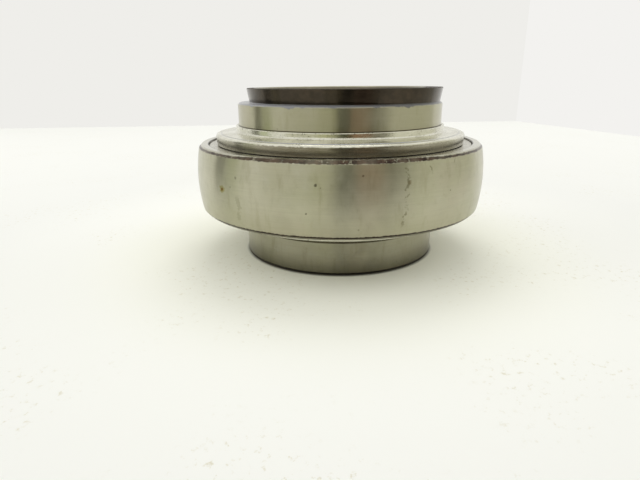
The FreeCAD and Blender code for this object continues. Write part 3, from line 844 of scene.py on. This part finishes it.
def heat_scale(finish, colour, rough):
    """Dark heat scale on the eccentric cam, a blued land edge and face, the sleeve darker towards the
    bottom, and painted shadow at its foot and where the flingers' hubs meet it.
    """
    land = finish.band_mm(finish.z, *LAND_SMEAR)
    colour = finish.mix(finish.times(land, LAND_DULLER), colour, SMEAR)
    height = finish.maths("SUBTRACT", finish.z, (MID_HEIGHT + LAND_HEIGHT) * MM)
    outside = finish.ramp_mm(finish.radius, *OUTSIDE_RADIUS)
    cover = finish.times(finish.ramp_mm(height, *SCALE_HEIGHT), outside)
    scale = finish.ramp(finish.streaks(SCALE_CLOUD), *SCALE_SHADES)
    scale = finish.mix(scale, SCALE_DARK, SCALE_BROWN)
    reach = finish.moved(height, finish.streaks(BLUE_RAGGED), *BLUE_TONGUES, BLUE_SPAN)
    blue = finish.times(finish.ramp_mm(reach, *BLUE_HEIGHT), outside)
    tint = finish.ramp(finish.facing(RIGHTWARDS), *BLUE_SIDES)
    tint = finish.mix(tint, STAIN_BLUE_PALE, STAIN_BLUE_DARK)
    mouth = finish.band_mm(finish.radius, *MOUTH_RADIUS)
    mouth = finish.times(mouth, finish.ramp_mm(height, *MOUTH_HEIGHT), MOUTH_DARKER)
    colour = finish.mix(mouth, colour, SCALE_BROWN)
    colour = finish.mix(blue, colour, tint)
    colour = finish.mix(cover, colour, scale)
    # Darker towards the bottom, with a painted contact shadow at the sleeve's foot
    for low, high, strength in SLEEVE_LOW_DARKENING:
        colour = finish.mix(finish.ramp_mm(finish.z, low, high, strength, 0.0), colour, SPECK_AND_SHADE_DARK)
    # Painted shadow lines where the flingers' hubs meet the sleeve
    for low, high, strength, shade in SLEEVE_SEAM_SHADOWS:
        seam_shadow = finish.times(finish.band_mm(finish.z, low, high, SEAM_SOFT), strength)
        colour = finish.mix(seam_shadow, colour, shade)
    lid = finish.times(finish.ramp_mm(height, *LID_HEIGHT), outside)
    shaded = finish.times(blue, finish.rest(cover))
    dull = finish.times(finish.maths("ADD", lid, shaded), DULL_SHARE)
    finish.feed("Metallic", finish.rest(finish.maths("MINIMUM", dull, DULL_SHARE)))
    finish.feed("Specular IOR Level", finish.ramp(lid, *LID_GLOSS))
    rough = finish.maths("ADD", rough, finish.times(lid, LID_ROUGHER))
    return colour, finish.maths("SUBTRACT", rough, finish.times(cover, SCALE_SMOOTHER))


def ground_steel(name, roughness, dress):
    """Ground bearing steel: fine lines round the axis, faint blotches and specks."""
    finish = Finish(name, STEEL, 1.0, roughness, Anisotropic=0.9, Anisotropic_Rotation=0.25)
    finish.grain_round_axis()
    patch = finish.noise(PATCH)
    colour = STEEL
    for cloud, low, high, most, shade in (
        (finish.noise(BLOTCH), 0.4, 0.75, 0.7, STEEL_OLIVE),
        (patch, 0.5, 0.8, 0.5, STEEL_PALE),
        (finish.noise(WARMTH), 0.5, 0.68, 0.55, STEEL_WARM),
        (finish.streaks(DRIPS, finish.z), 0.5, 0.74, 0.6, SMEAR),
        (finish.noise(MOTTLE), 0.52, 0.72, 0.35, SMEAR),
    ):
        colour = finish.mix(finish.ramp(cloud, low, high, 0.0, most), colour, shade)
    fine = finish.streaks(GROUND_FINE)
    wide = finish.streaks(GROUND_WIDE)
    lines = finish.ramp(fine, *FINE_SHADES)
    lines = finish.maths("ADD", lines, finish.ramp(wide, *WIDE_SHADES))
    shade = finish.add("ShaderNodeCombineColor", [(0, lines), (1, lines), (2, lines)]).outputs[0]
    colour = finish.mix(1.0, colour, shade, "MULTIPLY")
    colour = finish.mix(finish.times(finish.specks(*STEEL_SPECKS), STEEL_SPECK_SHARE), colour, SPECK_AND_SHADE_DARK)
    colour = finish.mix(finish.specks(*RUST_SPECKS), colour, RUST)
    rough = finish.ramp(patch, *PATCH_SPAN, roughness - SMOOTHER_BY, roughness + ROUGHER_BY)
    colour, rough = dress(finish, colour, rough)
    finish.feed("Base Color", colour)
    finish.feed("Roughness", rough)
    finish.bump(finish.maths("ADD", fine, finish.times(wide, WIDE_SHARE)), GRINDING_DEPTH)
    return finish.material


def pressed_steel():
    """Bright pressed sheet of the flingers, with faint draw lines and grit, a painted shade line in the
    crease of the step, and a painted dark reflection on the cam side's lower skirt.
    """
    finish = Finish(
        "flinger_sheet_bright", SHEET_STEEL, 1.0, 0.3, Anisotropic=0.4, Anisotropic_Rotation=0.25,
    )
    finish.grain_round_axis()
    cloud = finish.noise(SHEET_CLOUD)
    colour = finish.mix(finish.ramp(cloud, *SHEET_SHADES), SHEET_STEEL, STEEL_PALE)
    colour = finish.mix(finish.times(finish.specks(*SHEET_SPECKS), SHEET_SPECK_SHARE), colour, SPECK_AND_SHADE_DARK)
    flare = finish.ramp_mm(finish.radius, *FLARE_RADIUS)
    dirty = finish.ramp(finish.noise(SHEET_DIRT), *DIRT_SHADES)
    grains = finish.ramp(finish.noise(SHEET_GRAINS), *GRAIN_SHADES)
    colour = finish.mix(finish.times(grains, flare, dirty, GRIT_SHARE), colour, SPECK_AND_SHADE_DARK)
    backwards = finish.facing(BACKWARDS)
    # Painted shade: a bluish dark line in the crease of the step to the rim, stronger at the front
    crease_shade = finish.band_mm(finish.radius, *CREASE_RADIUS)
    crease_shade = finish.times(crease_shade, finish.ramp(backwards, *CREASE_FRONT))
    colour = finish.mix(crease_shade, colour, CREASE_SHADE_BLUE)
    # Painted reflection: the cam side's lower skirt is darker olive and duller, more so at the front,
    # standing in for the dark ring face it reflects
    height = finish.moved(finish.from_middle(), finish.streaks(SKIRT_RAGGED), *SKIRT_STEPS)
    skirt_reflection = finish.times(
        finish.ramp_mm(height, *SKIRT_HEIGHT),
        finish.ramp_mm(finish.radius, *SKIRT_RADIUS),
        finish.ramp(backwards, *SKIRT_REFLECTION_FRONT),
        finish.ramp(finish.streaks(SKIRT_REFLECTION_STREAKS), *SKIRT_REFLECTION_SHADES),
        finish.ramp_mm(finish.z, *UPPER_SIDE),
    )
    finish.feed("Base Color", finish.mix(skirt_reflection, colour, SKIRT_PAINTED_REFLECTION))
    finish.feed("Roughness", finish.ramp(cloud, *SHEET_ROUGHNESS))
    finish.feed("Metallic", finish.rest(finish.times(skirt_reflection, SKIRT_REFLECTION_DULLER)))
    finish.bump(finish.streaks(DRAW_LINES), DRAWING_DEPTH)
    return finish.material


def plain_finish(name, colour, metallic, roughness, cloudy, depth):
    """A simple finish with soft clouds in its colour and a fine grain."""
    finish = Finish(name, colour, metallic, roughness)
    cloud = finish.noise(PLAIN_CLOUD)
    darker = [value * cloudy for value in colour]
    finish.feed("Base Color", finish.mix(finish.ramp(cloud, *PLAIN_SHADES), colour, darker))
    smoother, rougher = (roughness * share for share in PLAIN_ROUGHER)
    finish.feed("Roughness", finish.ramp(cloud, *PLAIN_SPAN, smoother, rougher))
    finish.bump(finish.noise(PLAIN_GRAIN), depth)
    return finish.material


ring_steel = ground_steel("outer_ring_ground_steel", 0.34, burnt_chamfers)
sleeve_steel = ground_steel("inner_ring_ground_steel", 0.32, heat_scale)
flinger_steel = pressed_steel()
cap_steel = plain_finish("seal_cap_oiled_steel", tone(196, 193, 180), 0.85, 0.26, 0.85, 0.004)
rubber = plain_finish("seal_lip_rubber", tone(34, 33, 33), 0.0, 0.55, 0.7, 0.01)
cage_steel = plain_finish("cage_pressed_steel", tone(176, 170, 152), 1.0, 0.34, 0.8, 0.005)
rivet_steel = plain_finish("rivet_steel", tone(186, 182, 168), 1.0, 0.3, 0.85, 0.004)
ball_steel = plain_finish("ball_polished_steel", tone(206, 206, 204), 1.0, 0.06, 0.97, 0.0003)


# The pieces

turning = turning_tree()
on_circle = circle_tree()


def turned_piece(name, corners, side, node, body, material, segments=RING_SEGMENTS, throw=0.0):
    """A turned ring that stands for its CAD node and rides on the node's body."""
    piece = made_by(turning, name, section_mesh(name, corners, side), {
        "Segments": segments,
        "Core": CORE * MM,
        "Eccentricity": throw * MM,
        "Material": material,
    }, weigh=True)
    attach(piece, body)
    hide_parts(node)


turned_piece(
    "outer_ring_ground", outer_ring_section(), 1,
    "outer_ring", "outer", ring_steel,
)
turned_piece(
    "inner_ring_ground", inner_ring_section(), 1,
    "inner_ring", "inner", sleeve_steel, throw=CAM_OFFSET,
)
for where, side, seat, rim, rise in (
    ("cam_side", 1, LAND_RADIUS, CAM_SIDE_RIM, CAM_SIDE_RISE),
    ("plain_side", -1, PLAIN_RADIUS, PLAIN_SIDE_RIM, PLAIN_SIDE_RISE),
):
    turned_piece(
        f"flinger_pressed_{where}", flinger_section(seat, rim, rise), side,
        f"flinger_{where}", "inner", flinger_steel,
    )
    turned_piece(
        f"seal_cap_pressed_{where}", cap_section(seat), side,
        f"seal_cap_{where}", "outer", cap_steel, SMALL_RING_SEGMENTS,
    )
    turned_piece(
        f"seal_lip_moulded_{where}", lip_section(seat), side,
        f"seal_lip_{where}", "outer", rubber, SMALL_RING_SEGMENTS,
    )


def circle_piece(name, mesh, node, body, material, first=0.0, only=-1):
    """Copies of a mesh on the ball circle that stand for a CAD node and ride on its body."""
    piece = made_by(on_circle, name, mesh, {
        "Count": BALL_COUNT,
        "Circle Radius": PITCH * MM,
        "Height": MID_HEIGHT * MM,
        "First Angle": first,
        "Only": only,
        "Material": material,
    })
    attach(piece, body)
    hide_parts(node)


circle_piece(
    "cage_rivets_domed", rivet_mesh(), "cage_rivets", "cage", rivet_steel,
    first=math.pi / BALL_COUNT,
)
for number in range(BALL_COUNT):
    label = f"ball_{number + 1:02d}"
    circle_piece(label + "_polished", ball_mesh(), label, label, ball_steel, only=number)

for where in ("cam_side", "plain_side"):
    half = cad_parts[f"cage_half_{where}"]
    half.data.materials.clear()
    half.data.materials.append(cage_steel)


# Camera, as the photograph was taken: millimetres and degrees

CAMERA_PLACE = (0.0, -157.34, 52.65)
CAMERA_PITCH = 18.39
CAMERA_YAW = -2.34
CAMERA_ROLL = -0.44
CAMERA_LENS = 27.0
CAMERA_NEAREST = 10.0


def place_camera():
    """A camera on the photograph's own place and direction."""
    pitch, yaw, roll = (math.radians(value) for value in (CAMERA_PITCH, CAMERA_YAW, CAMERA_ROLL))
    forward = Vector((math.sin(yaw) * math.cos(pitch), math.cos(yaw) * math.cos(pitch), -math.sin(pitch)))
    level = Vector((math.cos(yaw), -math.sin(yaw), 0.0))
    upright = level.cross(forward)
    right = level * math.cos(roll) + upright * math.sin(roll)
    up = upright * math.cos(roll) - level * math.sin(roll)
    turn = Matrix((right, up, -forward)).transposed()
    data = bpy.data.cameras.new("photograph_camera")
    data.lens = CAMERA_LENS
    data.clip_start = CAMERA_NEAREST * MM
    camera = bpy.data.objects.new("photograph_camera", data)
    camera.matrix_world = Matrix.Translation(Vector(CAMERA_PLACE) * MM) @ turn.to_4x4()
    bpy.context.scene.collection.objects.link(camera)
    bpy.context.scene.camera = camera


place_camera()


# Floor, walls, light and cards, in metres

FLOOR_NEAR = -3.0
FLOOR_FAR = 0.6
FLOOR_SIDE = 3.0
CORNER = Vector((0.2328, 0.502, 0.0))
LEFT_END = Vector((-1.6, 0.281, 0.0))
RIGHT_END = Vector((0.55, -0.646, 0.0))
WALL_HEIGHT = 1.6
WALL_LEFT = tone(239, 238, 234)
WALL_RIGHT = tone(243, 242, 239)
FLOOR_COLOUR = tone(241, 241, 236)
# Painted light on the floor round the bearing, which lightens its shadow, and painted warm light under it
FLOOR_PAINTED_LIGHT = tone(253, 253, 246)
FLOOR_PAINTED_WARM_LIGHT = tone(253, 253, 239)
FLOOR_FLECK = tone(206, 198, 164)
# Distances from the axis where the floor's painted light near the part and painted warm light under it
# fade out
PAINTED_LIGHT_ZONE = (0.05, 0.14, 1.0, 0.0)
WARM_LIGHT_ZONE = (0.04, 0.09, 1.0, 0.0)
# Painted shadow: a dark ring on the floor where the sleeve stands, in millimetres: its shift to the front,
# and the radii where it fades out and where it begins
CONTACT_SHADOW_DARK = tone(52, 47, 36)
CONTACT_SHIFT = 1.2
CONTACT_RING = (PLAIN_RADIUS - 0.9, PLAIN_RADIUS + 0.7, 0.95, 0.0)
CONTACT_INSIDE = (BORE - 0.5, BORE)
# Light from all round, and lamps: name, place, size and power, and whether reflections show them
WORLD_TINT = (1.0, 1.0, 0.98)
WORLD_LIGHT = 0.78
LAMP_AIM = Vector((0.0, 0.0, 0.025))
LAMPS = (
    ("overhead_lamp", (0.0, 0.45, 0.75), 0.5, 1.5, True),
    ("side_lamp", (-0.8, -0.05, 0.4), 0.6, 1.6, False),
    ("side_lamp", (0.8, 0.3, 0.4), 0.6, 1.1, False),
)
# Cards in front of the bearing: name, left and right edge, distance in front, height, colour
FRONT_CARDS = (
    ("front_card_dark", -0.006, 0.032, 0.165, 0.1, (0.03, 0.035, 0.01)),
    ("front_card_low", -0.014, 0.085, 0.12, 0.016, (0.05, 0.04, 0.03)),
    ("front_card_brown", 0.032, 0.095, 0.166, 0.1, (0.26, 0.15, 0.08)),
    ("front_card_grey", 0.095, 0.18, 0.168, 0.2, (0.2, 0.19, 0.14)),
    ("front_card_dim_right", 0.18, 0.32, 0.17, 0.24, (0.42, 0.41, 0.32)),
    ("front_card_dim_left", -0.06, -0.006, 0.167, 0.058, (0.42, 0.42, 0.24)),
    ("front_card_wide_left", -0.45, -0.02, 0.3, 0.11, (0.48, 0.47, 0.34)),
    ("front_card_wide_right", -0.02, 0.5, 0.3, 0.2, (0.48, 0.47, 0.34)),
)
# Cards at the sides: name, degrees from the front towards the left, width, height, colour
SIDE_CARD_DISTANCE = 0.2
SIDE_CARDS = (
    ("side_card_right", -85.0, 0.24, 0.2, (0.66, 0.65, 0.55)),
    ("side_card_dark", 92.5, 0.042, 0.13, (0.14, 0.14, 0.11)),
    ("side_card_green", 79.0, 0.045, 0.16, (0.5, 0.53, 0.37)),
)


def stage_panel(name, places, material):
    """A flat piece of the stage with four corners."""
    mesh = bpy.data.meshes.new(name)
    mesh.from_pydata(places, [], [(0, 1, 2, 3)])
    mesh.materials.append(material)
    piece = bpy.data.objects.new(name, mesh)
    bpy.context.scene.collection.objects.link(piece)
    return piece


def glow(name, colour):
    """A material that shines evenly, for the backdrop and the cards."""
    material = bpy.data.materials.new(name)
    material.use_nodes = True
    tree = material.node_tree
    tree.nodes.clear()
    shine = add_node(tree, "ShaderNodeEmission", [("Color", (*colour, 1.0)), ("Strength", 1.0)])
    output = tree.nodes.new("ShaderNodeOutputMaterial")
    tree.links.new(shine.outputs[0], output.inputs["Surface"])
    return material


def upright_panel(name, start, end, height, material):
    """A shining panel that stands on the floor, and neither lights nor shades the bearing."""
    tall = Vector((0.0, 0.0, height))
    panel = stage_panel(name, [start, end, end + tall, start + tall], material)
    panel.visible_diffuse = False
    panel.visible_shadow = False
    return panel


def reflected_card(name, start, end, height, colour):
    """A card that only reflections in the bearing show."""
    upright_panel(name, start, end, height, glow(name, colour)).visible_camera = False


def floor_finish():
    """Smooth white bench top, matt, with faint flecks, painted light and warm light round the bearing, and
    a painted shadow ring under the sleeve's edge.
    """
    finish = Finish("bench_top_white", FLOOR_COLOUR, 0.0, 0.5, Specular_IOR_Level=0.0)
    colour = FLOOR_COLOUR
    # Painted light near the bearing and painted warm light under it, lightening its shadow
    for zone, shade in ((PAINTED_LIGHT_ZONE, FLOOR_PAINTED_LIGHT), (WARM_LIGHT_ZONE, FLOOR_PAINTED_WARM_LIGHT)):
        colour = finish.mix(finish.ramp(finish.radius, *zone), colour, shade)
    # Painted shadow round the sleeve's foot, reaching further to the front
    from_foot = finish.distance((0.0, -CONTACT_SHIFT, 0.0))
    contact_shadow = finish.ramp_mm(from_foot, *CONTACT_RING)
    contact_shadow = finish.times(contact_shadow, finish.ramp_mm(finish.radius, *CONTACT_INSIDE))
    colour = finish.mix(contact_shadow, colour, CONTACT_SHADOW_DARK)
    worn = finish.ramp(finish.noise(BENCH_WEAR), *WEAR_SHADES)
    marks = finish.times(worn, finish.ramp(finish.noise(BENCH_FLECKS), *FLECK_SHADES))
    finish.feed("Base Color", finish.mix(marks, colour, FLOOR_FLECK))
    finish.feed("Roughness", finish.ramp(finish.noise(BENCH_CLOUD), *BENCH_ROUGHNESS))
    return finish.material


def soft_lamp(name, place, size, power, reflected):
    """A square lamp aimed at the bearing."""
    data = bpy.data.lights.new(name, "AREA")
    data.shape = "SQUARE"
    data.size = size
    data.energy = power
    lamp = bpy.data.objects.new(name, data)
    lamp.rotation_mode = "QUATERNION"
    lamp.rotation_quaternion = (LAMP_AIM - Vector(place)).to_track_quat("-Z", "Y")
    lamp.location = place
    lamp.visible_glossy = reflected
    bpy.context.scene.collection.objects.link(lamp)


def pale_room():
    """A world that shows the wall's colour and lights the bearing evenly."""
    world = bpy.data.worlds.new("pale_room")
    world.use_nodes = True
    bpy.context.scene.world = world
    sky = world.node_tree
    sky.nodes.clear()
    path = sky.nodes.new("ShaderNodeLightPath")
    seen = path.outputs["Is Camera Ray"]
    for ray in ("Is Glossy Ray", "Is Transmission Ray"):
        either = add_node(sky, "ShaderNodeMath", [(0, seen), (1, path.outputs[ray])], operation="MAXIMUM")
        seen = either.outputs[0]
    lit = add_node(sky, "ShaderNodeBackground", [("Color", (*WORLD_TINT, 1.0)), ("Strength", WORLD_LIGHT)])
    shown = add_node(sky, "ShaderNodeBackground", [("Color", (*WALL_LEFT, 1.0)), ("Strength", 1.0)])
    both = add_node(sky, "ShaderNodeMixShader", [(0, seen), (1, lit.outputs[0]), (2, shown.outputs[0])])
    sky.links.new(both.outputs[0], sky.nodes.new("ShaderNodeOutputWorld").inputs["Surface"])


stage_panel("bench_top", [
    (-FLOOR_SIDE, FLOOR_NEAR, 0.0), (FLOOR_SIDE, FLOOR_NEAR, 0.0),
    (FLOOR_SIDE, FLOOR_FAR, 0.0), (-FLOOR_SIDE, FLOOR_FAR, 0.0),
], floor_finish())
upright_panel("backdrop_left", LEFT_END, CORNER, WALL_HEIGHT, glow("backdrop_left_pale", WALL_LEFT))
upright_panel("backdrop_right", CORNER, RIGHT_END, WALL_HEIGHT, glow("backdrop_right_pale", WALL_RIGHT))
pale_room()
for lamp in LAMPS:
    soft_lamp(*lamp)
for name, left, right, distance, height, colour in FRONT_CARDS:
    reflected_card(
        name, Vector((left, -distance, 0.0)), Vector((right, -distance, 0.0)), height, colour,
    )
for name, azimuth, width, height, colour in SIDE_CARDS:
    turn = math.radians(azimuth)
    middle = Vector((-math.sin(turn), -math.cos(turn), 0.0)) * SIDE_CARD_DISTANCE
    half = Vector((math.cos(turn), -math.sin(turn), 0.0)) * (width / 2)
    reflected_card(name, middle - half, middle + half, height, colour)

bpy.context.scene.view_settings.view_transform = "Standard"
